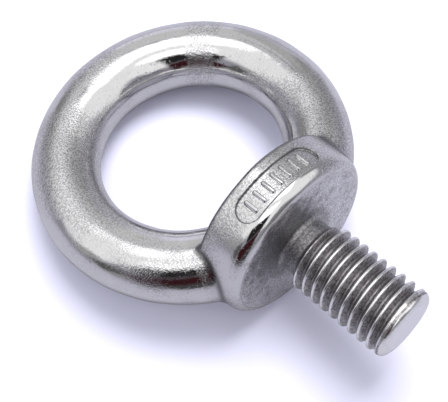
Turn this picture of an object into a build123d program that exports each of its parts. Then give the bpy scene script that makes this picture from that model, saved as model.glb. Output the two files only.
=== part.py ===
"""Lifting eye bolt, M10: a round eye on a thick collar, with an undercut and a threaded shank.

The bolt is one casting. It is divided into its named regions, which meet face to face:
eye_ring, collar, marking_bars, shank_neck, threaded_shank and shank_tip.

Frame, in millimetres: the origin is the centre of the flat seat, +Z runs up the bolt's axis to the
eye, and the eye's hole runs along Y. The shank points down.
"""

from build123d import *
from math import cos, radians, sin
import os

# Thread: M10, coarse pitch
THREAD_RADIUS = 4.97
THREAD_PITCH = 1.5
ROOT_RADIUS = 4.08
SHANK_LENGTH = 17.5

# Thread ridge: a trapezoid with a rounded crest, its foot sunk in the core.
# The ridge dies into a plain land at each end of the thread.
RIDGE_SINK = 0.15
RIDGE_BASE_RADIUS = ROOT_RADIUS - RIDGE_SINK
RIDGE_HALF_WIDTH = 0.64
RIDGE_MARGIN = 0.05
CREST_HALF_WIDTH = 0.14
CREST_CLEARANCE = 0.03
CREST_ROUNDING = 0.06
CREST_TOP = THREAD_RADIUS - CREST_CLEARANCE - RIDGE_BASE_RADIUS
CREST_SHOULDER = CREST_TOP - CREST_ROUNDING
LAND_LENGTH = 0.4
LAND_RAMP = 0.6

# Chamfered end
TIP_LENGTH = 0.8
TIP_FACE_RADIUS = 4.2
TIP_EDGE_RADIUS = 0.3

# Undercut between the seat and the first thread
NECK_RADIUS = 3.9
NECK_FILLET = 0.8
NECK_LENGTH = 2.4
NECK_CONE = 0.3
NECK_FOOT_RADIUS = NECK_RADIUS + NECK_FILLET

# The neck's root is let into the collar by this much, so that the collar's own face is the flat seat ring
NECK_ROOT_DEPTH = 0.5

# Collar
COLLAR_RADIUS = 12.3
COLLAR_HEIGHT = 6.8
SEAT_EDGE_RADIUS = 1.5
TOP_EDGE_RADIUS = 0.8
SEAT_OUTER_RADIUS = COLLAR_RADIUS - SEAT_EDGE_RADIUS
WALL_TOP = COLLAR_HEIGHT - TOP_EDGE_RADIUS
TOP_RADIUS = COLLAR_RADIUS - TOP_EDGE_RADIUS

# Eye: mean radius of the ring, radius of its round section, and height of its centre
RING_RADIUS = 17.7
SECTION_RADIUS = 4.8
RING_HEIGHT = 20.8

# Legs: the ring's section widens along Y as it runs down into the collar, and carries on across it.
# Angles are from straight down, round the ring's centre.
LEG_START_ANGLE = 58.0
LEG_FULL_ANGLE = 24.0
LEG_EXTRA_WIDTH = 0.6
LEG_STATION_COUNT = 15

# Marking panel: a shallow slot in the collar's wall, front and rear
PANEL_WIDTH = 13.2
PANEL_HEIGHT = 3.7
PANEL_CENTRE_HEIGHT = 3.4
PANEL_DEPTH = 0.35
PANEL_FLOOR_RADIUS = COLLAR_RADIUS - PANEL_DEPTH

# Raised bars in the panel
BAR_COUNT = 7
BAR_SPACING = 1.5
BAR_WIDTH = 0.6
BAR_HEIGHT = 2.2
BAR_RISE = 0.25


def ring_plane(angle):
    """Plane across the ring at an angle from straight down, positive towards +X.

    Its x direction points away from the ring's centre and its y direction is along Y.
    """
    outward = Vector(sin(radians(angle)), 0, -cos(radians(angle)))
    centre = Vector(0, 0, RING_HEIGHT) + outward * RING_RADIUS
    return Plane(origin=centre, x_dir=outward, z_dir=outward.cross(Vector(0, 1, 0)))


def leg_half_width(angle):
    """Half width of the ring's section along Y: it grows smoothly from a circle's to the full width."""
    share = (LEG_START_ANGLE - abs(angle)) / (LEG_START_ANGLE - LEG_FULL_ANGLE)
    share = min(share, 1.0)
    return SECTION_RADIUS + LEG_EXTRA_WIDTH * share**2 * (3 - 2 * share)


RING_AXIS = Axis((0, 0, RING_HEIGHT), (0, -1, 0))

# Upright planes at the panel's centre height, facing out to the front and to the rear
PANEL_PLANES = [
    Plane(origin=(0, 0, PANEL_CENTRE_HEIGHT), x_dir=(side, 0, 0), z_dir=(0, -side, 0)) for side in (1, -1)
]

# The collar before its marking panels are cut: the ring's legs are trimmed against it.
with BuildPart() as collar_blank:
    with BuildSketch(Plane.XZ):
        with BuildLine():
            Line((0, 0), (SEAT_OUTER_RADIUS, 0))
            RadiusArc((SEAT_OUTER_RADIUS, 0), (COLLAR_RADIUS, SEAT_EDGE_RADIUS), -SEAT_EDGE_RADIUS)
            Line((COLLAR_RADIUS, SEAT_EDGE_RADIUS), (COLLAR_RADIUS, WALL_TOP))
            RadiusArc((COLLAR_RADIUS, WALL_TOP), (TOP_RADIUS, COLLAR_HEIGHT), -TOP_EDGE_RADIUS)
            Line((TOP_RADIUS, COLLAR_HEIGHT), (0, COLLAR_HEIGHT))
            Line((0, COLLAR_HEIGHT), (0, 0))
        make_face()
    revolve(axis=Axis.Z)

# Eye ring: a torus whose legs widen, trimmed where the collar takes over
with BuildPart() as eye_ring:
    with BuildSketch(ring_plane(LEG_START_ANGLE)):
        Circle(SECTION_RADIUS)
    revolve(axis=RING_AXIS, revolution_arc=360 - 2 * LEG_START_ANGLE)
    for station in range(LEG_STATION_COUNT):
        angle = LEG_START_ANGLE * (2 * station / (LEG_STATION_COUNT - 1) - 1)
        with BuildSketch(ring_plane(angle)):
            Ellipse(SECTION_RADIUS, leg_half_width(angle))
    loft()
    split(bisect_by=Plane.XY, keep=Keep.TOP)
    add(collar_blank.part, mode=Mode.SUBTRACT)
eye_ring.part.label = "eye_ring"

# Collar: the blank with a shallow panel in its wall, front and rear, and a socket for the neck's root
with BuildPart() as panel_cutter:
    for panel_plane in PANEL_PLANES:
        with BuildSketch(panel_plane):
            SlotOverall(PANEL_WIDTH, PANEL_HEIGHT)
        extrude(amount=2 * COLLAR_RADIUS)
    Cylinder(PANEL_FLOOR_RADIUS, 4 * COLLAR_HEIGHT, mode=Mode.SUBTRACT)

with BuildPart() as collar:
    add(collar_blank.part)
    add(panel_cutter.part, mode=Mode.SUBTRACT)
    with BuildSketch(Plane.XY):
        Circle(NECK_FOOT_RADIUS)
    extrude(amount=NECK_ROOT_DEPTH, mode=Mode.SUBTRACT)
collar.part.label = "collar"

# Raised bars standing on the floor of each panel, all alike
with BuildPart() as marking_bars:
    for panel_plane in PANEL_PLANES:
        with BuildSketch(panel_plane):
            for index in range(BAR_COUNT):
                offset_x = (index - (BAR_COUNT - 1) / 2) * BAR_SPACING
                with Locations((offset_x, 0)):
                    SlotOverall(BAR_HEIGHT, BAR_WIDTH, rotation=90)
        extrude(amount=2 * COLLAR_RADIUS)
    Cylinder(PANEL_FLOOR_RADIUS, 4 * COLLAR_HEIGHT, mode=Mode.SUBTRACT)
    Cylinder(PANEL_FLOOR_RADIUS + BAR_RISE, 4 * COLLAR_HEIGHT, mode=Mode.INTERSECT)
marking_bars.part.label = "marking_bars"

# Shank neck: its root in the collar, a fillet at the seat, the undercut and a cone down to the thread
NECK_BOTTOM = -NECK_LENGTH
with BuildPart() as shank_neck:
    with BuildSketch(Plane.XZ):
        with BuildLine():
            Polyline((0, NECK_ROOT_DEPTH), (NECK_FOOT_RADIUS, NECK_ROOT_DEPTH), (NECK_FOOT_RADIUS, 0))
            RadiusArc((NECK_FOOT_RADIUS, 0), (NECK_RADIUS, -NECK_FILLET), -NECK_FILLET)
            Polyline(
                (NECK_RADIUS, -NECK_FILLET),
                (NECK_RADIUS, NECK_BOTTOM + NECK_CONE),
                (ROOT_RADIUS, NECK_BOTTOM),
                (0, NECK_BOTTOM),
                (0, NECK_ROOT_DEPTH),
            )
        make_face()
    revolve(axis=Axis.Z)
shank_neck.part.label = "shank_neck"

# Threaded shank: the core, a plain land at each end at the full diameter, and the helical ridge
THREAD_END = -(SHANK_LENGTH - TIP_LENGTH)
UPPER_LAND_END = NECK_BOTTOM - LAND_RAMP - LAND_LENGTH
LOWER_LAND_START = THREAD_END + LAND_LENGTH
HELIX_START = THREAD_END + RIDGE_HALF_WIDTH + RIDGE_MARGIN
HELIX_END = NECK_BOTTOM - LAND_RAMP - RIDGE_HALF_WIDTH
with BuildPart() as threaded_shank:
    with BuildSketch(Plane.XZ):
        with BuildLine():
            Polyline(
                (0, NECK_BOTTOM),
                (ROOT_RADIUS, NECK_BOTTOM),
                (THREAD_RADIUS, NECK_BOTTOM - LAND_RAMP),
                (THREAD_RADIUS, UPPER_LAND_END),
                (ROOT_RADIUS, UPPER_LAND_END - LAND_RAMP),
                (ROOT_RADIUS, LOWER_LAND_START + LAND_RAMP),
                (THREAD_RADIUS, LOWER_LAND_START),
                (THREAD_RADIUS, THREAD_END),
                (0, THREAD_END),
                close=True,
            )
        make_face()
    revolve(axis=Axis.Z)
    with BuildLine() as ridge_path:
        Helix(THREAD_PITCH, HELIX_END - HELIX_START, RIDGE_BASE_RADIUS, center=(0, 0, HELIX_START))
    ridge_start = ridge_path.line @ 0
    with BuildSketch(Plane(origin=ridge_start, x_dir=(1, 0, 0), z_dir=ridge_path.line % 0)):
        with BuildLine():
            Line((0, RIDGE_HALF_WIDTH), (0, -RIDGE_HALF_WIDTH))
            Line((0, -RIDGE_HALF_WIDTH), (CREST_SHOULDER, -CREST_HALF_WIDTH))
            ThreePointArc(
                (CREST_SHOULDER, -CREST_HALF_WIDTH), (CREST_TOP, 0), (CREST_SHOULDER, CREST_HALF_WIDTH)
            )
            Line((CREST_SHOULDER, CREST_HALF_WIDTH), (0, RIDGE_HALF_WIDTH))
        make_face()
    sweep(path=ridge_path.line, is_frenet=True)
threaded_shank.part.label = "threaded_shank"

# Shank tip: the chamfered end, with its edge rounded
with BuildPart() as shank_tip:
    with BuildSketch(Plane.XZ):
        with BuildLine():
            Polyline(
                (0, THREAD_END),
                (THREAD_RADIUS, THREAD_END),
                (TIP_FACE_RADIUS, -SHANK_LENGTH),
                (0, -SHANK_LENGTH),
                close=True,
            )
        make_face()
    revolve(axis=Axis.Z)
    fillet(shank_tip.edges().sort_by(Axis.Z)[0], radius=TIP_EDGE_RADIUS)
shank_tip.part.label = "shank_tip"

os.makedirs("parts", exist_ok=True)
export_step(eye_ring.part, "parts/eye_ring.step")
export_step(collar.part, "parts/collar.step")
export_step(marking_bars.part, "parts/marking_bars.step")
export_step(shank_neck.part, "parts/shank_neck.step")
export_step(threaded_shank.part, "parts/threaded_shank.step")
export_step(shank_tip.part, "parts/shank_tip.step")
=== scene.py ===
"""Looks for the lifting eye bolt: its cast head, rolled thread, finishes, studio and camera.

Shapes are worked out in millimetres in the model's own frame, and turned to metres as each mesh is made.
"""

from math import cos, pi, radians, sin, tau

import bmesh
import bpy
import numpy as np
from mathutils import Matrix, Vector


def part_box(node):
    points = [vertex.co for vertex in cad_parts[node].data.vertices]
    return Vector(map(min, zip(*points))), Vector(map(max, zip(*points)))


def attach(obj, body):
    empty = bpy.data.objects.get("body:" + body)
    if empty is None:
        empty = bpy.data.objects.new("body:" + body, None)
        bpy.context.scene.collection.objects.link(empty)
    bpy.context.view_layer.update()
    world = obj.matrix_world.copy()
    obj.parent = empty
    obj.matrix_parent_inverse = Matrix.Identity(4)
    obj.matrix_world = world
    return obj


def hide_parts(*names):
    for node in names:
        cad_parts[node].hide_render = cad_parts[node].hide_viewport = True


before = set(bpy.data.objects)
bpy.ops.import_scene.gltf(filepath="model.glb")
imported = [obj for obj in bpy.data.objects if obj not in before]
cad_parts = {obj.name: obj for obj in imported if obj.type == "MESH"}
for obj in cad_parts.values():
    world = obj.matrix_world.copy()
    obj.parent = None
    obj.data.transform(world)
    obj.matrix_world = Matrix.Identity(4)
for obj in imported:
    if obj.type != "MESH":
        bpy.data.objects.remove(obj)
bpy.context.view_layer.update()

MM = 0.001

# ---------------------------------------------------------------- sizes from the frame, in millimetres
ring_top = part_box("eye_ring")[1] / MM
collar_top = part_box("collar")[1] / MM
thread_low, thread_high = (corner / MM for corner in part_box("threaded_shank"))
tip_low, tip_high = (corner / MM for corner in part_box("shank_tip"))

SECTION_RADIUS = 4.8
RING_RADIUS = ring_top.x - SECTION_RADIUS
RING_HEIGHT = ring_top.z - ring_top.x
COLLAR_RADIUS = collar_top.x
COLLAR_HEIGHT = collar_top.z
NECK_RADIUS = 3.9
THREAD_RADIUS = thread_high.x
THREAD_TOP = thread_high.z
THREAD_BOTTOM = thread_low.z
TIP_END = tip_low.z

# ---------------------------------------------------------------- the casting, as a distance field
LEG_START_ANGLE = 58
LEG_FULL_ANGLE = 24
LEG_EXTRA_WIDTH = 0.4
LEG_BLEND = 0.8
TOP_EDGE_RADIUS = 0.45
SEAT_EDGE_BLEND = 2.1
SEAT_RADIUS = 10.9
NECK_BLEND = 0.7
PANEL_HALF_LENGTH = 6.6
PANEL_RADIUS = 1.85
PANEL_HEIGHT = 3.4
PANEL_DEPTH = 0.33
PANEL_STEP = 0.24
WAVE_HEIGHT = 0.035
SPLIT_HEIGHT = COLLAR_HEIGHT + 0.3


def smooth_step(value):
    """0 below 0, 1 above 1 and a smooth rise between them."""
    share = np.clip(value, 0, 1)
    return share * share * (3 - 2 * share)


def smooth_min(a, b, blend):
    """The lesser of two distances, with the corner between their surfaces filled."""
    share = np.clip(0.5 + 0.5 * (b - a) / blend, 0, 1)
    return b + (a - b) * share - blend * share * (1 - share)


def smooth_max(a, b, blend):
    """The greater of two distances, with the edge between their surfaces rounded off."""
    return -smooth_min(-a, -b, blend)


def ring_distance(x, y, z):
    """The eye: a torus whose section widens along Y as it runs down into the collar."""
    angle = np.degrees(np.arctan2(np.abs(x), RING_HEIGHT - z))
    widening = smooth_step((LEG_START_ANGLE - angle) / (LEG_START_ANGLE - LEG_FULL_ANGLE))
    narrowing = SECTION_RADIUS / (SECTION_RADIUS + LEG_EXTRA_WIDTH * widening)
    outward = np.hypot(x, z - RING_HEIGHT) - RING_RADIUS
    return np.hypot(outward, y * narrowing) - SECTION_RADIUS


def collar_distance(x, y, z):
    """The collar: an upright cylinder with a rounded top edge, left open below for the seat's cut."""
    outward = np.hypot(x, y) - COLLAR_RADIUS + TOP_EDGE_RADIUS
    upward = z - COLLAR_HEIGHT + TOP_EDGE_RADIUS
    outside = np.hypot(np.maximum(outward, 0), np.maximum(upward, 0))
    return outside + np.minimum(np.maximum(outward, upward), 0) - TOP_EDGE_RADIUS


def panel_distance(x, y, z):
    """Distance along the wall from the outline of the front or rear marking panel, below 0 inside it."""
    straight = PANEL_HALF_LENGTH - PANEL_RADIUS
    slot = np.hypot(np.maximum(np.abs(x) - straight, 0), z - PANEL_HEIGHT) - PANEL_RADIUS
    return np.where(np.abs(y) > COLLAR_RADIUS / 2, slot, PANEL_RADIUS)


def panel_share(x, y, z):
    """1 on the floor of the marking panels, 0 outside them and a slope at their edge."""
    return smooth_step(-panel_distance(x, y, z) / PANEL_STEP)


def unevenness(x, y, z):
    """The casting's low waves, about 1 either way and 5 to 12 mm long."""
    long_waves = np.sin(0.55 * x + 1.3 * np.sin(0.31 * z)) * np.sin(0.47 * z + 0.9 + 0.6 * np.sin(0.4 * y))
    short_waves = np.sin(1.13 * x - 0.7 * y + 0.4) * np.sin(0.98 * z + 0.83 * y + 1.9)
    return 0.7 * long_waves + 0.3 * short_waves


def casting_distance(x, y, z):
    """The whole casting: eye and collar blended, cut by the seat, with the neck and the two panels."""
    body = smooth_min(ring_distance(x, y, z), collar_distance(x, y, z), LEG_BLEND)
    body = body + PANEL_DEPTH * panel_share(x, y, z)
    body = smooth_max(body, -z, SEAT_EDGE_BLEND)
    neck = np.maximum(np.hypot(x, y) - NECK_RADIUS, z - COLLAR_HEIGHT / 2)
    return smooth_min(body, neck, NECK_BLEND) + WAVE_HEIGHT * unevenness(x, y, z)


def slope(field, points, reach=0.01):
    """The field's gradient at each point, by central differences."""
    columns = []
    for axis in range(3):
        step = np.zeros(3)
        step[axis] = reach
        ahead = field(*(points + step).T)
        behind = field(*(points - step).T)
        columns.append((ahead - behind) / (2 * reach))
    return np.stack(columns, axis=1)


def settle(field, points, rounds):
    """Moves points onto the field's zero surface."""
    for _ in range(rounds):
        gradient = slope(field, points)
        steepness = np.maximum((gradient * gradient).sum(axis=1), 0.05)
        points = points - gradient * (field(*points.T) / steepness)[:, None]
    return points


def surface_net(field, low, high, step):
    """Quads over a field's zero surface: one vertex in each cell of a grid that the surface crosses."""
    axes = [np.arange(a, b + step, step) for a, b in zip(low, high)]
    values = field(*np.meshgrid(*axes, indexing="ij", sparse=True))
    values = np.broadcast_to(values, [len(axis) for axis in axes])
    inside = values < 0
    cell_counts = [len(axis) - 1 for axis in axes]
    corner_offsets = [(i, j, k) for i in (0, 1) for j in (0, 1) for k in (0, 1)]
    full = np.zeros(cell_counts, np.int8)
    for i, j, k in corner_offsets:
        full += inside[i : i + cell_counts[0], j : j + cell_counts[1], k : k + cell_counts[2]]
    cells = np.argwhere((full > 0) & (full < 8))
    number = np.full(cell_counts, -1)
    number[tuple(cells.T)] = np.arange(len(cells))

    total = np.zeros((len(cells), 3))
    crossings = np.zeros(len(cells))
    for offset in corner_offsets:
        for axis in range(3):
            if offset[axis]:
                continue
            start = cells + offset
            end = start.copy()
            end[:, axis] += 1
            a, b = values[tuple(start.T)], values[tuple(end.T)]
            crossed = (a < 0) != (b < 0)
            place = start.astype(float)
            place[:, axis] += np.where(crossed, a / np.where(crossed, a - b, 1), 0)
            total[crossed] += place[crossed]
            crossings += crossed
    points = np.array(low) + step * total / crossings[:, None]

    quads = []
    for axis in range(3):
        across, along = (axis + 1) % 3, (axis + 2) % 3
        before = inside.take(range(inside.shape[axis] - 1), axis)
        after = inside.take(range(1, inside.shape[axis]), axis)
        for entering in (True, False):
            edges = np.argwhere(after & ~before if entering else before & ~after)
            edges = edges[(edges[:, across] > 0) & (edges[:, along] > 0)]
            edges = edges[(edges[:, across] < cell_counts[across]) & (edges[:, along] < cell_counts[along])]
            loop = []
            for step_across, step_along in ((-1, -1), (0, -1), (0, 0), (-1, 0)):
                cell = edges.copy()
                cell[:, across] += step_across
                cell[:, along] += step_along
                loop.append(number[tuple(cell.T)])
            quads.append(np.stack(loop[::-1] if entering else loop, axis=1))
    return points, np.concatenate(quads)


def relax(points, quads, rounds, field):
    """Evens out the net's spacing, keeping every vertex on the surface."""
    pairs = np.concatenate([quads[:, [i, (i + 1) % 4]] for i in range(4)])
    degree = np.bincount(pairs.ravel(), minlength=len(points))
    for _ in range(rounds):
        total = np.zeros_like(points)
        for axis in range(3):
            total[:, axis] = np.bincount(pairs[:, 0], points[pairs[:, 1], axis], len(points))
            total[:, axis] += np.bincount(pairs[:, 1], points[pairs[:, 0], axis], len(points))
        points = 0.5 * points + 0.5 * total / degree[:, None]
        points = settle(field, points, 1)
    return settle(field, points, 2)


# ---------------------------------------------------------------- meshes
def new_piece(name, points, faces):
    """An object from points in millimetres."""
    mesh = bpy.data.meshes.new(name)
    mesh.from_pydata((np.asarray(points) * MM).tolist(), [], [list(face) for face in faces])
    mesh.update()
    piece = bpy.data.objects.new(name, mesh)
    bpy.context.scene.collection.objects.link(piece)
    return piece


def coordinates(mesh):
    """A mesh's vertices as an array in millimetres."""
    flat = np.zeros(len(mesh.vertices) * 3, np.float32)
    mesh.vertices.foreach_get("co", flat)
    return flat.reshape(-1, 3).astype(float) / MM


def trim(piece, height, keep_above):
    """Cuts a piece off at a level and closes the cut with a flat face."""
    shape = bmesh.new()
    shape.from_mesh(piece.data)
    bmesh.ops.bisect_plane(
        shape,
        geom=shape.verts[:] + shape.edges[:] + shape.faces[:],
        plane_co=(0, 0, height * MM),
        plane_no=(0, 0, 1),
        clear_outer=not keep_above,
        clear_inner=keep_above,
    )
    rim = [edge for edge in shape.edges if edge.is_boundary]
    bmesh.ops.contextual_create(shape, geom=rim)
    bmesh.ops.recalc_face_normals(shape, faces=shape.faces)
    shape.to_mesh(piece.data)
    shape.free()


def shade_by_field(piece, field):
    """Smooth normals straight from the field, and flat ones on the cut faces."""
    mesh = piece.data
    mesh.shade_smooth()
    gradient = slope(field, coordinates(mesh))
    gradient /= np.linalg.norm(gradient, axis=1, keepdims=True)
    corner_vertex = np.zeros(len(mesh.loops), np.int32)
    mesh.loops.foreach_get("vertex_index", corner_vertex)
    normals = gradient[corner_vertex]
    for face in mesh.polygons:
        if len(face.vertices) > 8:
            normals[list(face.loop_indices)] = face.normal
    mesh.normals_split_custom_set(normals.tolist())


def mark(piece, name, values):
    """Stores one number for each vertex, for the materials to read."""
    attribute = piece.data.attributes.new(name, "FLOAT", "POINT")
    attribute.data.foreach_set("value", np.asarray(values, np.float32))


# ---------------------------------------------------------------- the casting's mesh and its marks
RELAX_ROUNDS = 4

# Grainier stretches of the eye, in degrees: the angle round it from straight down, positive towards
# +X, and half the width.
DULL_PATCHES = [(-128, 26), (52, 20), (130, 8)]

# The collar's wall is grainy too: how much, how far from its radius and how far up and into the legs.
WALL_DULLNESS = 0.75
WALL_REACH = 1.6
WALL_OVER_TOP = 0.2
WALL_INTO_LEGS = 0.5

# Stretch of the seat's edge that is worn bright, front and rear: angles round the collar from the
# panel's middle, and the distance from the middle of the edge's rounding.
POLISH_START = -54
POLISH_END = 30
POLISH_FADE = 8
POLISH_REACH = 1.6
POLISH_REACH_FADE = 0.5
EDGE_ROUNDING_CENTRE = 0.9

# The seat and the neck lie below these levels, and the neck's mark ends at this radius.
SEAT_LEVEL = 0.25
SEAT_LEVEL_FADE = 0.2
SEAT_FADE = 0.25
NECK_MARK_RADIUS = 6.2
NECK_MARK_FADE = 1.4
NECK_LEVEL = 0.6
SEAT_SHADE_LEVEL = 0.5
LEVEL_FADE = 0.4

# Painted shade on the seat, off to one side of the neck.
SEAT_SHADE_X = -3.4
SEAT_SHADE_Y = -4.6
SEAT_SHADE_REACH = 10.5

# Painted shade in the creases: half widths of the lines, and how strong each is.
PANEL_RIM_WIDTH = 0.2
FOOT_LINE_WIDTH = 0.7
FOOT_LINE_SHARE = 0.7
FOOT_SHADE_WIDTH = 2.2
FOOT_SHADE_SHARE = 0.2
LEDGE_DEPTH = 0.7
LEDGE_CLEARANCE = 0.2
LEDGE_SHARE = 0.8
SEAT_RIM_WIDTH = 0.16
SEAT_RIM_SHARE = 0.3


def line_share(distance, width):
    """1 on a line and 0 beyond its half width."""
    return 1 - smooth_step(distance / width)


def polish_share(x, y, z):
    """1 where the seat's edge is worn bright."""
    wall_angle = np.degrees(np.arctan2(-x * np.sign(y), np.abs(y)))
    polish = smooth_step((wall_angle - POLISH_START) / POLISH_FADE)
    polish *= smooth_step((POLISH_END - wall_angle) / POLISH_FADE)
    from_wall = np.hypot(x, y) - COLLAR_RADIUS
    edge = np.hypot(from_wall + EDGE_ROUNDING_CENTRE, z - EDGE_ROUNDING_CENTRE)
    return polish * smooth_step((POLISH_REACH - edge) / POLISH_REACH_FADE)


def crease_shade_share(x, y, z):
    """How much painted shade darkens the creases: the panel's rim, the legs' feet, the collar's ledge and
    the seat's rim.
    """
    radius = np.hypot(x, y)
    to_ring, to_collar = ring_distance(x, y, z), collar_distance(x, y, z)
    panel_rim = line_share(np.abs(panel_distance(x, y, z) + 0.5 * PANEL_STEP), PANEL_RIM_WIDTH)
    # Only the upper side of the panel's rim gets the painted shade.
    panel_rim *= smooth_step((z - PANEL_HEIGHT + PANEL_RADIUS) / PANEL_RADIUS)
    from_foot = np.abs(to_ring - to_collar)
    leg_foot = FOOT_LINE_SHARE * line_share(from_foot, FOOT_LINE_WIDTH)
    leg_foot += FOOT_SHADE_SHARE * line_share(from_foot, FOOT_SHADE_WIDTH)
    leg_foot *= radius > COLLAR_RADIUS / 2
    ledge = smooth_step((z - COLLAR_HEIGHT + LEDGE_DEPTH) / LEVEL_FADE)
    ledge *= (to_ring > LEDGE_CLEARANCE) * (radius > COLLAR_RADIUS - 1)
    seat_rim = line_share(np.abs(radius - SEAT_RADIUS), SEAT_RIM_WIDTH) * (z < SEAT_SHADE_LEVEL)
    return np.max([panel_rim, leg_foot, LEDGE_SHARE * ledge, SEAT_RIM_SHARE * seat_rim], axis=0)


def dull_share(x, y, z):
    """1 where the eye and the collar's wall are grainy."""
    ring_angle = np.degrees(np.arctan2(x, RING_HEIGHT - z))
    dull = np.zeros(len(x))
    for centre, half_width in DULL_PATCHES:
        away = np.abs((ring_angle - centre + 180) % 360 - 180)
        dull = np.maximum(dull, smooth_step(1.5 - away / half_width))
    wall = (1 - polish_share(x, y, z)) * (np.abs(np.hypot(x, y) - COLLAR_RADIUS) < WALL_REACH)
    wall *= (z < COLLAR_HEIGHT + WALL_OVER_TOP) * (ring_distance(x, y, z) > -WALL_INTO_LEGS)
    return np.maximum(dull, WALL_DULLNESS * wall)


def casting_piece(name, low, high, step, keep_above):
    """The part of the casting above or below the split, as a closed mesh."""
    points, quads = surface_net(casting_distance, low, high, step)
    points = relax(points, quads, RELAX_ROUNDS, casting_distance)
    piece = new_piece(name, points, quads)
    trim(piece, SPLIT_HEIGHT, keep_above)
    if not keep_above:
        trim(piece, THREAD_TOP, True)
    shade_by_field(piece, casting_distance)
    x, y, z = coordinates(piece.data).T
    radius = np.hypot(x, y)
    seat = smooth_step((SEAT_LEVEL - z) / SEAT_LEVEL_FADE)
    seat *= smooth_step((SEAT_RADIUS - radius) / SEAT_FADE)
    # The neck's mark also lays painted shade on the seat round the neck's foot.
    neck = smooth_step((NECK_MARK_RADIUS - radius) / NECK_MARK_FADE)
    neck *= smooth_step((NECK_LEVEL - z) / LEVEL_FADE)
    # Painted shade on the seat, fading out from a point to one side of the neck.
    from_seat_shade = np.hypot(x - SEAT_SHADE_X, y - SEAT_SHADE_Y)
    seat_shade = smooth_step((SEAT_SHADE_REACH - from_seat_shade) / SEAT_SHADE_REACH)
    seat_shade *= smooth_step((SEAT_SHADE_LEVEL - z) / LEVEL_FADE)
    mark(piece, "seat", seat)
    mark(piece, "neck", neck)
    mark(piece, "seat_shade", seat_shade)
    mark(piece, "polish", polish_share(x, y, z))
    mark(piece, "panel", panel_share(x, y, z))
    mark(piece, "crease_shade", crease_shade_share(x, y, z))
    mark(piece, "dull", dull_share(x, y, z))
    return piece


# ---------------------------------------------------------------- thread
PITCH = 1.5
ROOT_RADIUS = 4.08
THREAD_START_RAMP = 0.9
THREAD_END_RAMP = 0.7
RUNOUT_SHARE = 0.9
NICK_DEPTH = 0.02

# The flank's start and length, in halves of a pitch from the middle of the root, and the shifts
# that round its two ends.
FLANK_START = 0.2
FLANK_SHARE = 0.64
FLANK_SHIFTS = (-0.06, -0.02, 0.02, 0.06)
THREAD_PHASE = 0.22
ROWS_PER_TURN = 26
THREAD_COLUMNS = 176
MERGE_DISTANCE = 0.004
SHARP_ANGLE = radians(60)


def thread_radius(turn, z):
    """Radius of the thread at an angle, in turns, and a height: it runs out at both ends."""
    phase = (z / PITCH - turn + THREAD_PHASE) % 1
    crest = 1 - np.abs(2 * phase - 1)
    flanks = [np.clip((crest - FLANK_START + shift) / FLANK_SHARE, 0, 1) for shift in FLANK_SHIFTS]
    ridge = sum(flanks) / len(flanks)
    start = smooth_step((THREAD_TOP - z) / THREAD_START_RAMP)
    end = smooth_step((z - THREAD_BOTTOM) / THREAD_END_RAMP)
    height = (THREAD_RADIUS - ROOT_RADIUS) * ridge
    plain = THREAD_RADIUS - ROOT_RADIUS
    nick = NICK_DEPTH * np.sin(7 * tau * turn + 2.1 * z) * np.sin(3 * tau * turn - 1.7 * z)
    return ROOT_RADIUS + (height * end + plain * RUNOUT_SHARE * (1 - end)) * start + nick * ridge


def thread_piece(name):
    """The thread as helical rows, so that its crests run along the mesh.

    The rows past each end fold into its rim.
    """
    rows = int((THREAD_TOP - THREAD_BOTTOM + PITCH) / PITCH * ROWS_PER_TURN) + 1
    row, column = np.meshgrid(np.arange(rows), np.arange(THREAD_COLUMNS), indexing="ij")
    turn = column / THREAD_COLUMNS
    z = THREAD_BOTTOM - PITCH + PITCH * (row / ROWS_PER_TURN + turn)
    z = np.clip(z, THREAD_BOTTOM, THREAD_TOP)
    radius = thread_radius(turn, z)
    points = np.stack([radius * np.cos(tau * turn), radius * np.sin(tau * turn), z], axis=-1).reshape(-1, 3)
    faces = []
    for r in range(rows - 1):
        for c in range(THREAD_COLUMNS):
            wraps = c == THREAD_COLUMNS - 1
            lower = r + ROWS_PER_TURN if wraps else r
            if lower + 1 >= rows:
                continue
            ahead = lower * THREAD_COLUMNS + (c + 1) % THREAD_COLUMNS
            here = r * THREAD_COLUMNS + c
            faces.append((here, ahead, ahead + THREAD_COLUMNS, here + THREAD_COLUMNS))
    piece = new_piece(name, points, faces)
    shape = bmesh.new()
    shape.from_mesh(piece.data)
    bmesh.ops.remove_doubles(shape, verts=shape.verts, dist=MERGE_DISTANCE * MM)
    loose = [vertex for vertex in shape.verts if not vertex.link_faces]
    bmesh.ops.delete(shape, geom=loose, context="VERTS")
    middle = (THREAD_TOP + THREAD_BOTTOM) / 2 * MM
    upper_rim = [edge for edge in shape.edges if edge.is_boundary and edge.verts[0].co.z > middle]
    bmesh.ops.contextual_create(shape, geom=upper_rim)
    lower_rim = [edge for edge in shape.edges if edge.is_boundary]
    bmesh.ops.contextual_create(shape, geom=lower_rim)
    bmesh.ops.recalc_face_normals(shape, faces=shape.faces)
    shape.to_mesh(piece.data)
    shape.free()
    piece.data.shade_smooth()
    piece.data.set_sharp_from_angle(angle=SHARP_ANGLE)
    x, y, z = coordinates(piece.data).T
    depth = (np.hypot(x, y) - ROOT_RADIUS) / (THREAD_RADIUS - ROOT_RADIUS)
    mark(piece, "crest", np.clip(depth, 0, 1))
    return piece


# ---------------------------------------------------------------- tip
TIP_COLUMNS = 144
TIP_ROUNDING = 1.05
TIP_FACE_RADIUS = THREAD_RADIUS * 0.97 - TIP_ROUNDING
TIP_CREST_DEPTH = 0.3
TIP_ROUND_RINGS = 18
TIP_FACE_RINGS = 12
FACE_MARK_REACH = 0.1
FACE_MARK_FADE = 0.4


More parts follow.
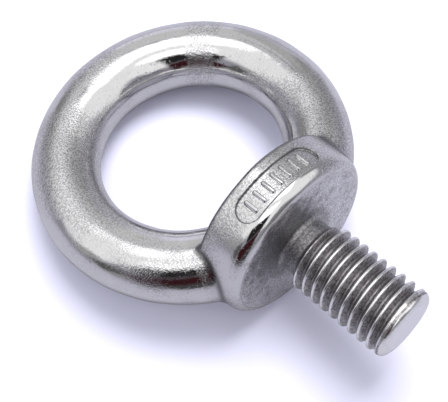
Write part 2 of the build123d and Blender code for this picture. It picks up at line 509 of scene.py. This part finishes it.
def tip_piece(name):
    """The rounded end: a broad round from the last thread to a flat face."""
    depth = tip_high.z - TIP_END
    profile = []
    for turn in np.linspace(0, pi / 2, TIP_ROUND_RINGS):
        profile.append((TIP_FACE_RADIUS + TIP_ROUNDING * cos(turn), tip_high.z - depth * sin(turn)))
    for share in np.linspace(0.9, 0.1, TIP_FACE_RINGS):
        profile.append((TIP_FACE_RADIUS * share, TIP_END))
    points, faces = [], []
    for radius, z in profile:
        for column in range(TIP_COLUMNS):
            turn = tau * column / TIP_COLUMNS
            points.append((radius * cos(turn), radius * sin(turn), z))
    rings = len(profile)
    for ring in range(rings - 1):
        for column in range(TIP_COLUMNS):
            ahead = (column + 1) % TIP_COLUMNS
            low, high = ring * TIP_COLUMNS, (ring + 1) * TIP_COLUMNS
            faces.append((low + column, high + column, high + ahead, low + ahead))
    faces.append(tuple(range(TIP_COLUMNS)))
    faces.append(tuple(reversed(range((rings - 1) * TIP_COLUMNS, rings * TIP_COLUMNS))))
    piece = new_piece(name, points, faces)
    piece.data.shade_smooth()
    piece.data.set_sharp_from_angle(angle=SHARP_ANGLE)
    x, y, z = coordinates(piece.data).T
    below = tip_high.z - z
    on_face = smooth_step((TIP_FACE_RADIUS + FACE_MARK_REACH - np.hypot(x, y)) / FACE_MARK_FADE)
    mark(piece, "crest", smooth_step(below / TIP_CREST_DEPTH))
    mark(piece, "face", on_face * (z < tip_high.z - TIP_CREST_DEPTH))
    return piece


# ---------------------------------------------------------------- marking bars
BAR_COUNT = 7
BAR_SPACING = 1.5
BAR_HALF_WIDTH = 0.33
BAR_LENGTH = 2.3
BAR_RISE = 0.27
BAR_SINK = 0.12
BAR_TAPER = 0.75
BAR_OUTLINE = 36
BAR_RINGS = 7


def bar_rings(centre_x):
    """Outlines of one raised bar from its foot to its top, as x, z and height above the panel's floor."""
    straight = BAR_LENGTH / 2 - BAR_HALF_WIDTH
    rings = [(1.0, -BAR_SINK)]
    for share in np.linspace(0, 1, BAR_RINGS):
        rings.append((1 - BAR_TAPER * share, BAR_RISE * sin(share * pi / 2)))
    for scale, rise in rings:
        outline = []
        for index in range(BAR_OUTLINE):
            turn = tau * index / BAR_OUTLINE
            z = BAR_HALF_WIDTH * scale * sin(turn) + straight * (1 if sin(turn) >= 0 else -1)
            outline.append((centre_x + BAR_HALF_WIDTH * scale * cos(turn), PANEL_HEIGHT + z, rise))
        yield outline


def bars_piece(name):
    """Both rows of bars, standing on the floors of the front and rear panels."""
    floor_radius = COLLAR_RADIUS - PANEL_DEPTH
    points, faces = [], []
    for side in (-1, 1):
        for index in range(BAR_COUNT):
            centre_x = (index - (BAR_COUNT - 1) / 2) * BAR_SPACING
            first = len(points)
            outlines = list(bar_rings(centre_x))
            for outline in outlines:
                for x, z, rise in outline:
                    points.append((x, side * ((floor_radius + rise) ** 2 - x * x) ** 0.5, z))
            for ring in range(len(outlines) - 1):
                for corner in range(BAR_OUTLINE):
                    ahead = (corner + 1) % BAR_OUTLINE
                    low, high = first + ring * BAR_OUTLINE, first + (ring + 1) * BAR_OUTLINE
                    faces.append((low + corner, low + ahead, high + ahead, high + corner))
            faces.append(tuple(range(first, first + BAR_OUTLINE)))
            faces.append(tuple(range(len(points) - BAR_OUTLINE, len(points))))
    piece = new_piece(name, points, faces)
    shape = bmesh.new()
    shape.from_mesh(piece.data)
    bmesh.ops.recalc_face_normals(shape, faces=shape.faces)
    shape.to_mesh(piece.data)
    shape.free()
    piece.data.shade_smooth()
    return piece


# ---------------------------------------------------------------- materials
class Nodes:
    """A node tree, with short calls to add nodes to it and wire them up."""

    def __init__(self, tree):
        self.tree = tree
        tree.nodes.clear()

    def add(self, kind, inputs=(), **settings):
        """Adds a node. Inputs are values or sockets, by the socket's name or number."""
        made = self.tree.nodes.new(kind)
        for key, value in settings.items():
            setattr(made, key, value)
        for key, value in dict(inputs).items():
            if isinstance(value, bpy.types.NodeSocket):
                self.tree.links.new(value, made.inputs[key])
            else:
                made.inputs[key].default_value = value
        return made

    def math(self, operation, *values):
        return self.add("ShaderNodeMath", enumerate(values), operation=operation).outputs[0]

    def ramp(self, value, low, high, to_low=0.0, to_high=1.0):
        """Maps a value from one range to another, smoothly and held at the ends."""
        inputs = {0: value, 1: low, 2: high, 3: to_low, 4: to_high}
        return self.add("ShaderNodeMapRange", inputs, interpolation_type="SMOOTHSTEP").outputs[0]

    def mix(self, share, a, b):
        """A colour between two colours."""
        made = self.tree.nodes.new("ShaderNodeMix")
        made.data_type = "RGBA"
        sockets = {s.identifier: s for s in made.inputs}
        for identifier, value in (("Factor_Float", share), ("A_Color", a), ("B_Color", b)):
            if isinstance(value, bpy.types.NodeSocket):
                self.tree.links.new(value, sockets[identifier])
            else:
                sockets[identifier].default_value = value
        return next(s for s in made.outputs if s.identifier == "Result_Color")

    def noise(self, scale, detail=2.0, roughness=0.5, where=None):
        """Fractal noise; scale is in cycles a metre."""
        inputs = {"Scale": scale, "Detail": detail, "Roughness": roughness}
        if where is not None:
            inputs["Vector"] = where
        return self.add("ShaderNodeTexNoise", inputs).outputs["Fac"]

    def attribute(self, name):
        return self.add("ShaderNodeAttribute", attribute_name=name).outputs["Fac"]


def material(name):
    made = bpy.data.materials.new(name)
    made.use_nodes = True
    return made, Nodes(made.node_tree)


def rgb(red, green, blue):
    return (red, green, blue, 1.0)


# Noise scales, in cycles a metre, and bump heights.
GRAIN_SCALE = 4200
SPECK_SCALE = 2300
RIPPLE_SCALE = 700
MOTTLE_SCALE = 640
PATCH_SCALE = 120
GRAIN_BUMP = 0.014 * MM
RIPPLE_BUMP = 0.02 * MM

STEEL_LIGHT = rgb(0.74, 0.735, 0.74)
STEEL_DARK = rgb(0.66, 0.655, 0.665)
# The seat's pale colour is a painted reflection of the pale floor; its dark colour is mottle and painted
# shade.
SEAT_FLOOR_REFLECTION = rgb(0.92, 0.91, 0.96)
SEAT_MOTTLE_AND_SHADE = rgb(0.13, 0.125, 0.14)
# Painted shade round the neck.
NECK_SHADE = rgb(0.20, 0.195, 0.20)
# Colours of the grain's specks: partly the metal's own grain, partly painted glints and painted shade.
GRAIN_AND_GLINT_LIGHT = rgb(0.95, 0.945, 0.95)
GRAIN_AND_SHADE_DARK = rgb(0.24, 0.235, 0.245)
PIT_DARK = rgb(0.30, 0.29, 0.30)
# Painted shade in the creases.
CREASE_SHADE = rgb(0.06, 0.055, 0.06)


def cast_stainless():
    """Tumbled cast stainless: polish broken by patches of grain whose specks are partly painted glints and
    painted shade, a mottled seat with a painted floor reflection and painted shade, a rough neck with
    painted shade, and painted shade in the creases.
    """
    made, nodes = material("cast_stainless_tumbled")
    where = nodes.add("ShaderNodeTexCoord").outputs["Object"]
    grain = nodes.ramp(nodes.noise(GRAIN_SCALE, 2, 0.6, where), 0.36, 0.64)
    specks = nodes.ramp(nodes.noise(SPECK_SCALE, 2, 0.6, where), 0.60, 0.70)
    ripples = nodes.noise(RIPPLE_SCALE, 2, 0.5, where)
    duller = nodes.math("MULTIPLY", nodes.attribute("dull"), 0.22)
    patches = nodes.math("ADD", nodes.noise(PATCH_SCALE, 1, 0.5, where), duller)
    patches = nodes.ramp(patches, 0.44, 0.72)
    mottle = nodes.noise(MOTTLE_SCALE, 5, 0.75, where)
    seat, neck, seat_shade = (nodes.attribute(name) for name in ("seat", "neck", "seat_shade"))
    polish, panel, crease_shade = (nodes.attribute(name) for name in ("polish", "panel", "crease_shade"))

    matte = nodes.math("MAXIMUM", seat, neck)
    dull = nodes.math("MAXIMUM", matte, nodes.math("MULTIPLY", panel, 0.6))
    bare = nodes.math("SUBTRACT", 1.0, polish)
    grain_share = nodes.math("MULTIPLY", nodes.ramp(patches, 0.0, 1.0, 0.10, 0.85), bare)
    grain_share = nodes.math("MAXIMUM", grain_share, dull)

    colour = nodes.mix(ripples, STEEL_LIGHT, STEEL_DARK)
    # Mottle and painted shade on the seat, over a painted reflection of the pale floor.
    mottle_and_shade = nodes.math("ADD", mottle, nodes.math("MULTIPLY", seat_shade, 0.36))
    seat_colour = nodes.mix(nodes.ramp(mottle_and_shade, 0.40, 0.82), SEAT_FLOOR_REFLECTION, SEAT_MOTTLE_AND_SHADE)
    colour = nodes.mix(matte, colour, seat_colour)
    # Painted shade round the neck.
    colour = nodes.mix(nodes.math("MULTIPLY", neck, 0.65), colour, NECK_SHADE)
    # Grain specks: partly the metal's own grain, partly painted glints and painted shade.
    grain_glint_share = nodes.math("MULTIPLY", nodes.math("MULTIPLY", grain, grain_share), 0.35)
    grain_shade_share = nodes.math("MULTIPLY", nodes.math("SUBTRACT", 1.0, grain), grain_share)
    colour = nodes.mix(grain_glint_share, colour, GRAIN_AND_GLINT_LIGHT)
    colour = nodes.mix(nodes.math("MULTIPLY", grain_shade_share, 0.55), colour, GRAIN_AND_SHADE_DARK)
    pit_share = nodes.math("MULTIPLY", specks, nodes.math("MULTIPLY", bare, 0.3))
    colour = nodes.mix(pit_share, colour, PIT_DARK)
    # Painted shade in the creases.
    colour = nodes.mix(nodes.math("MULTIPLY", crease_shade, 0.88), colour, CREASE_SHADE)

    roughness = nodes.ramp(grain_share, 0.0, 1.0, 0.08, 0.24)
    roughness = nodes.math("ADD", roughness, nodes.math("MULTIPLY", matte, 0.2))

    height = nodes.math("MULTIPLY", grain, grain_share)
    height = nodes.math("SUBTRACT", height, nodes.math("MULTIPLY", specks, 0.6))
    fine = nodes.add("ShaderNodeBump", {"Strength": 1.0, "Distance": GRAIN_BUMP, "Height": height})
    coarse = nodes.add(
        "ShaderNodeBump",
        {"Strength": 1.0, "Distance": RIPPLE_BUMP, "Height": ripples, "Normal": fine.outputs[0]},
    )
    shader = nodes.add(
        "ShaderNodeBsdfPrincipled",
        {"Base Color": colour, "Metallic": 1.0, "Roughness": roughness, "Normal": coarse.outputs[0]},
    )
    nodes.add("ShaderNodeOutputMaterial", {"Surface": shader.outputs[0]})
    return made


THREAD_GRAIN_SCALE = 3200
THREAD_SMEAR_SCALE = 500
THREAD_BUMP = 0.012 * MM

FLANK_LIGHT = rgb(0.66, 0.635, 0.645)
FLANK_DARK = rgb(0.46, 0.44, 0.45)
# Painted shade in the thread's roots.
ROOT_SHADE = rgb(0.12, 0.115, 0.12)
# Burnished crests, brightened further as a painted highlight.
CREST_BURNISH_AND_SHEEN = rgb(0.90, 0.895, 0.90)
SPECKLE_DARK = rgb(0.13, 0.125, 0.13)
# The end face's pale colours are a painted reflection of the pale floor, varied by grain.
FACE_REFLECTION_LIGHT = rgb(0.97, 0.96, 1.0)
FACE_REFLECTION_DARK = rgb(0.84, 0.83, 0.88)


def rolled_thread():
    """Rolled stainless thread: burnished crests with a painted highlight, speckled brownish flanks, painted
    shade in the roots and an end face painted pale as a reflection of the floor.
    """
    made, nodes = material("rolled_thread_steel")
    where = nodes.add("ShaderNodeTexCoord").outputs["Object"]
    grain = nodes.noise(THREAD_GRAIN_SCALE, 1, 0.6, where)
    smears = nodes.noise(THREAD_SMEAR_SCALE, 3, 0.6, where)
    crest = nodes.ramp(nodes.attribute("crest"), 0.82, 0.95)
    face = nodes.attribute("face")
    # Painted shade in the thread's roots.
    root = nodes.ramp(nodes.attribute("crest"), 0.0, 0.25, 1.0, 0.0)
    colour = nodes.mix(smears, FLANK_LIGHT, FLANK_DARK)
    colour = nodes.mix(nodes.math("MULTIPLY", root, 0.65), colour, ROOT_SHADE)
    # Burnished crests, brightened further as a painted highlight.
    colour = nodes.mix(crest, colour, CREST_BURNISH_AND_SHEEN)
    speckle = nodes.math("MULTIPLY", nodes.ramp(grain, 0.47, 0.58), nodes.ramp(crest, 0.0, 1.0, 0.65, 0.12))
    colour = nodes.mix(speckle, colour, SPECKLE_DARK)
    # A painted reflection of the pale floor on the end face.
    colour = nodes.mix(face, colour, nodes.mix(grain, FACE_REFLECTION_LIGHT, FACE_REFLECTION_DARK))
    worn = nodes.math("ADD", nodes.ramp(crest, 0.0, 1.0, 0.34, 0.12), nodes.math("MULTIPLY", smears, 0.08))
    worn = nodes.math("ADD", worn, nodes.math("MULTIPLY", face, 0.16))
    bump = nodes.add("ShaderNodeBump", {"Strength": 1.0, "Distance": THREAD_BUMP, "Height": grain})
    shader = nodes.add(
        "ShaderNodeBsdfPrincipled",
        {"Base Color": colour, "Metallic": 1.0, "Roughness": worn, "Normal": bump.outputs[0]},
    )
    nodes.add("ShaderNodeOutputMaterial", {"Surface": shader.outputs[0]})
    return made


# ---------------------------------------------------------------- pieces
RING_STEP = 0.21
COLLAR_STEP = 0.16
MARGIN = 0.8

ring_low = (-ring_top.x - MARGIN, -COLLAR_RADIUS, SPLIT_HEIGHT - MARGIN)
ring_high = (ring_top.x + MARGIN, COLLAR_RADIUS, ring_top.z + MARGIN)
collar_reach = ring_top.x
collar_low = (-collar_reach, -COLLAR_RADIUS - MARGIN, THREAD_TOP - MARGIN)
collar_high = (collar_reach, COLLAR_RADIUS + MARGIN, SPLIT_HEIGHT + MARGIN)

steel, thread_steel = cast_stainless(), rolled_thread()
ring_body = casting_piece("eye_ring_body", ring_low, ring_high, RING_STEP, True)
collar_body = casting_piece("collar_body", collar_low, collar_high, COLLAR_STEP, False)
built = [
    (ring_body, ["eye_ring"], steel),
    (collar_body, ["collar", "shank_neck"], steel),
    (bars_piece("marking_bar_rows"), ["marking_bars"], steel),
    (thread_piece("thread_body"), ["threaded_shank"], thread_steel),
    (tip_piece("tip_body"), ["shank_tip"], thread_steel),
]
for piece, nodes_replaced, finish in built:
    piece.data.materials.append(finish)
    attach(piece, "root")
    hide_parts(*nodes_replaced)

# ---------------------------------------------------------------- camera
CAMERA_PLACE = (-37.23, -103.03, -38.85)
CAMERA_AZIMUTH = radians(-18.7)
CAMERA_ELEVATION = radians(-25.0)
CAMERA_ROLL = radians(-50.5)
CAMERA_LENS = 71.7

to_camera = Vector((
    sin(CAMERA_AZIMUTH) * cos(CAMERA_ELEVATION),
    -cos(CAMERA_AZIMUTH) * cos(CAMERA_ELEVATION),
    sin(CAMERA_ELEVATION),
))
level_right = Vector((0, 0, 1)).cross(to_camera).normalized()
level_up = to_camera.cross(level_right)
right = level_right * cos(CAMERA_ROLL) + level_up * sin(CAMERA_ROLL)
up = to_camera.cross(right)

lens = bpy.data.cameras.new("camera")
lens.lens = CAMERA_LENS
lens.clip_start = 0.005
camera = bpy.data.objects.new("camera", lens)
camera_axes = Matrix((right, up, to_camera)).transposed().to_4x4()
camera.matrix_world = Matrix.Translation(Vector(CAMERA_PLACE) * MM) @ camera_axes
bpy.context.scene.collection.objects.link(camera)
bpy.context.scene.camera = camera

# ---------------------------------------------------------------- floor
# The plane cuts 0.05 mm into the back of the eye and 1 mm into the back of the collar. It is dimmer
# in the metal than it is to the camera, and it is transparent from behind.
FLOOR_REACH = 1500
FLOOR_NORMAL = (0, -0.9805, -0.196)
FLOOR_GAP = 0.05
FLOOR_SEEN = rgb(0.76, 0.76, 0.94)
FLOOR_MIRRORED = rgb(0.41, 0.41, 0.47)

floor_point = Vector((0, COLLAR_RADIUS + FLOOR_GAP, 1.0))
floor_x = Vector((1, 0, 0))
floor_y = Vector(FLOOR_NORMAL).normalized().cross(floor_x)
corners = []
for a, b in ((-1, -1), (1, -1), (1, 1), (-1, 1)):
    corners.append(tuple(floor_point + floor_x * a * FLOOR_REACH + floor_y * b * FLOOR_REACH))


def floor_paper():
    """Pale paper that is seen from above only."""
    made, nodes = material("floor_white")
    in_reflections = nodes.add("ShaderNodeLightPath").outputs["Is Glossy Ray"]
    shade = nodes.mix(in_reflections, FLOOR_SEEN, FLOOR_MIRRORED)
    paper = nodes.add("ShaderNodeBsdfDiffuse", {"Color": shade})
    clear = nodes.add("ShaderNodeBsdfTransparent")
    behind = nodes.add("ShaderNodeNewGeometry").outputs["Backfacing"]
    one_sided = nodes.add("ShaderNodeMixShader", {0: behind, 1: paper.outputs[0], 2: clear.outputs[0]})
    nodes.add("ShaderNodeOutputMaterial", {"Surface": one_sided.outputs[0]})
    return made


floor = new_piece("floor", corners, [(0, 1, 2, 3)])
floor.visible_shadow = False
floor.data.materials.append(floor_paper())

# ---------------------------------------------------------------- softbox, which only lights the floor
SOFTBOX_DISTANCE = 250 * MM
SOFTBOX_SIZE = 130 * MM
SOFTBOX_POWER = 0.55
SOFTBOX_ELEVATION = radians(38)
SOFTBOX_AZIMUTH = radians(8)

softbox_direction = to_camera * cos(SOFTBOX_ELEVATION) * cos(SOFTBOX_AZIMUTH)
softbox_direction += right * cos(SOFTBOX_ELEVATION) * sin(SOFTBOX_AZIMUTH)
softbox_direction += up * sin(SOFTBOX_ELEVATION)
softbox_light = bpy.data.lights.new("softbox", "AREA")
softbox_light.size = SOFTBOX_SIZE
softbox_light.energy = SOFTBOX_POWER
softbox = bpy.data.objects.new("softbox", softbox_light)
softbox.location = Vector((0, 0, RING_HEIGHT * MM)) + softbox_direction * SOFTBOX_DISTANCE
softbox.rotation_euler = softbox_direction.to_track_quat("Z", "Y").to_euler()
softbox.visible_glossy = False
bpy.context.scene.collection.objects.link(softbox)

# ---------------------------------------------------------------- studio
# Soft cards round the object, each (azimuth, elevation, half width, half height, softness, level, tint).
# Angles are in degrees from the camera's own axis; a card covers those before it.
NEUTRAL = (1, 1, 1)
LILAC = (0.95, 0.94, 1.06)
RED = (2.2, 0.55, 0.7)
STUDIO_LEVEL = 0.37
CARDS = [
    (180, -5, 60, 42, 14, 0.90, NEUTRAL),
    (-90, 84, 90, 13, 8, 0.70, NEUTRAL),
    (90, 84, 90, 13, 8, 0.52, NEUTRAL),
    (-75, 68, 55, 8, 8, 0.72, NEUTRAL),
    (60, 67, 56, 9, 8, 0.34, NEUTRAL),
    (-150, 66, 40, 12, 8, 0.90, LILAC),
    (150, 62, 28, 14, 8, 0.60, LILAC),
    (75, -42, 36, 22, 14, 0.27, NEUTRAL),
    (2, 22, 72, 34, 16, 1.06, NEUTRAL),
    (98, 34, 20, 20, 18, 0.32, LILAC),
    (62, 58, 26, 11, 10, 0.33, NEUTRAL),
    (-90, 47, 24, 11, 5, 0.29, NEUTRAL),
    (-66, -12, 9, 6, 6, 0.42, NEUTRAL),
    (-84, -48, 26, 22, 14, 0.34, NEUTRAL),
    (-62, -26, 10, 8, 6, 0.12, NEUTRAL),
    (-2, 42, 27, 13, 8, 2.3, NEUTRAL),
    (-5, 6, 20, 9, 7, 2.0, NEUTRAL),
    (24, -16, 12, 20, 6, 1.1, NEUTRAL),
    (90, -30, 34, 12, 14, 0.20, NEUTRAL),
    (-20, -60, 50, 11, 8, 0.07, NEUTRAL),
    (-12, -17, 24, 12, 4, 0.02, NEUTRAL),
    (-20, -41, 34, 11, 5, 0.02, RED),
]


def card_group():
    """A node group: how far a direction lies inside a soft-edged card, from 0 to 1."""
    group = bpy.data.node_groups.new("card", "ShaderNodeTree")
    places = ("Azimuth", "Elevation", "Centre azimuth", "Centre elevation")
    for name in (*places, "Half width", "Half height", "Softness"):
        group.interface.new_socket(name, in_out="INPUT", socket_type="NodeSocketFloat")
    group.interface.new_socket("Share", in_out="OUTPUT", socket_type="NodeSocketFloat")
    nodes = Nodes(group)
    given = nodes.add("NodeGroupInput").outputs
    shares = []
    across = ("Azimuth", "Centre azimuth", "Half width")
    upwards = ("Elevation", "Centre elevation", "Half height")
    for angle, centre, half in (across, upwards):
        away = nodes.math("SUBTRACT", given[angle], given[centre])
        away = nodes.math("ABSOLUTE", nodes.math("WRAP", away, 180.0, -180.0))
        inside = nodes.math("SUBTRACT", given[half], away)
        inside = nodes.math("DIVIDE", inside, given["Softness"])
        shares.append(nodes.ramp(inside, -0.5, 0.5))
    share = nodes.math("MULTIPLY", *shares)
    nodes.add("NodeGroupOutput", {"Share": share})
    return group


def studio():
    """The surroundings that light the metal and are mirrored in it; the camera itself sees plain white."""
    world = bpy.data.worlds.new("studio")
    world.use_nodes = True
    bpy.context.scene.world = world
    nodes = Nodes(world.node_tree)
    direction = nodes.add("ShaderNodeTexCoord").outputs["Generated"]

    def along(axis):
        inputs = {0: direction, 1: tuple(axis)}
        return nodes.add("ShaderNodeVectorMath", inputs, operation="DOT_PRODUCT").outputs["Value"]

    azimuth = nodes.math("DEGREES", nodes.math("ARCTAN2", along(right), along(to_camera)))
    elevation = nodes.math("DEGREES", nodes.math("ARCSINE", along(up)))
    colour = rgb(*(STUDIO_LEVEL * channel for channel in LILAC))
    group = card_group()
    for *shape, level, tint in CARDS:
        card = nodes.add("ShaderNodeGroup", node_tree=group)
        nodes.tree.links.new(azimuth, card.inputs[0])
        nodes.tree.links.new(elevation, card.inputs[1])
        for number, value in enumerate(shape, start=2):
            card.inputs[number].default_value = value
        colour = nodes.mix(card.outputs[0], colour, rgb(*(level * channel for channel in tint)))
    mirrored = nodes.add("ShaderNodeBackground", {"Color": colour})
    plain = nodes.add("ShaderNodeBackground", {"Color": rgb(1, 1, 1)})
    seen = nodes.add("ShaderNodeLightPath").outputs["Is Camera Ray"]
    both = nodes.add("ShaderNodeMixShader", {0: seen, 1: mirrored.outputs[0], 2: plain.outputs[0]})
    nodes.add("ShaderNodeOutputWorld", {"Surface": both.outputs[0]})


studio()
bpy.context.scene.view_settings.view_transform = "Standard"
